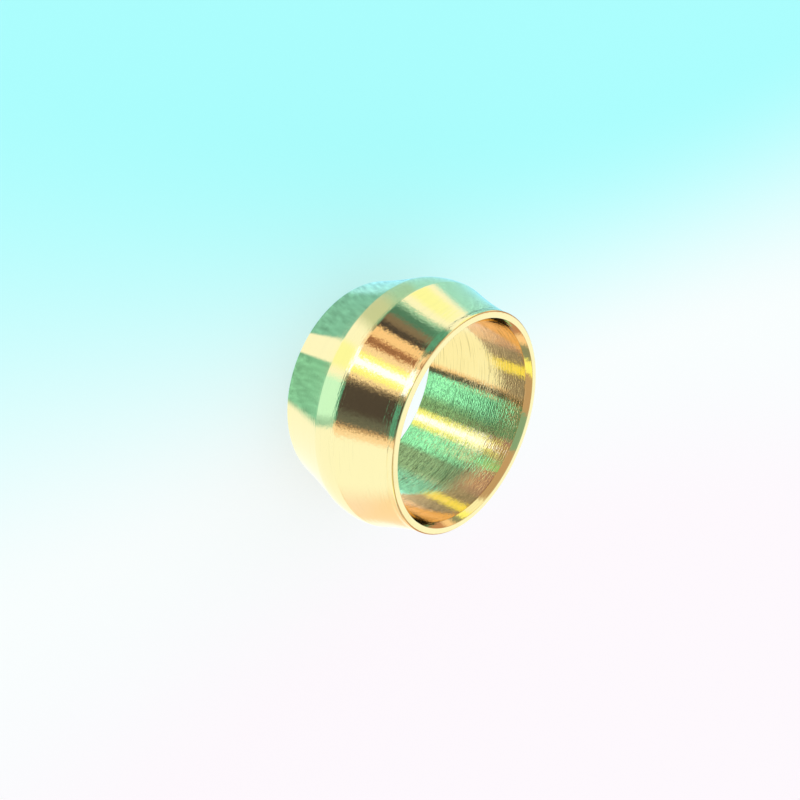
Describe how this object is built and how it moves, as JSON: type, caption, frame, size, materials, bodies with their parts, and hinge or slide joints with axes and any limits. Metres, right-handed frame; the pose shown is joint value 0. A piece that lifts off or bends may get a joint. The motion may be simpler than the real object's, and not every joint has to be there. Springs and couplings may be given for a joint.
{
  "type": "compression ferrule",
  "caption": "Turned brass compression ferrule: a short ring with a through bore, a crowned crest, a long hollow taper to a bevelled lip and a shorter taper to a plain end.",
  "frame": {"origin": "centre of the plain rear end face, which the ferrule stands on", "axes": "+Z along the bore from the rear end face to the bevelled mouth; X and Y are free, because the ferrule is round"},
  "size_m": [0.0128, 0.0128, 0.0069],
  "materials": {
    "brass": "bright turned brass with fine tool marks round the axis, outside and in the bore"
  },
  "bodies": {
    "root": {"ferrule": "brass"}
  },
  "joints": []
}
